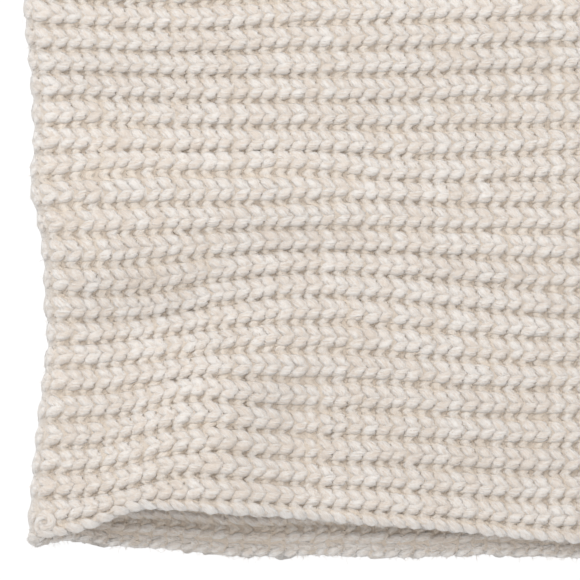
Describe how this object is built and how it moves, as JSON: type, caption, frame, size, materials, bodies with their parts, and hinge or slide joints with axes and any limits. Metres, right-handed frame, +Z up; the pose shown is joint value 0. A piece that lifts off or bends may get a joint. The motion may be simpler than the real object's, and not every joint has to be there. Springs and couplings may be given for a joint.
{
  "type": "snood",
  "caption": "Chunky rib-knit snood: an open tube of thick ribbed fabric lying flat, with rolled rib edges at both mouths and a grafted join on one fold.",
  "frame": {"origin": "middle of the footprint, on the surface that the snood lies on", "axes": "+X along the ribs from the fold with the join to the plain fold, +Y along the tube from the lower mouth to the upper one, +Z up through the two walls"},
  "size_m": [0.309, 0.3106, 0.0344],
  "materials": {
    "wool_knit": "chunky melange wool yarn, cream with beige and grey-brown fibres, matte and slightly hairy",
    "wool_join": "the same yarn in longer grafting stitches"
  },
  "bodies": {
    "root": {"knit_strip": "wool_knit", "join_seam": "wool_join"}
  },
  "joints": []
}
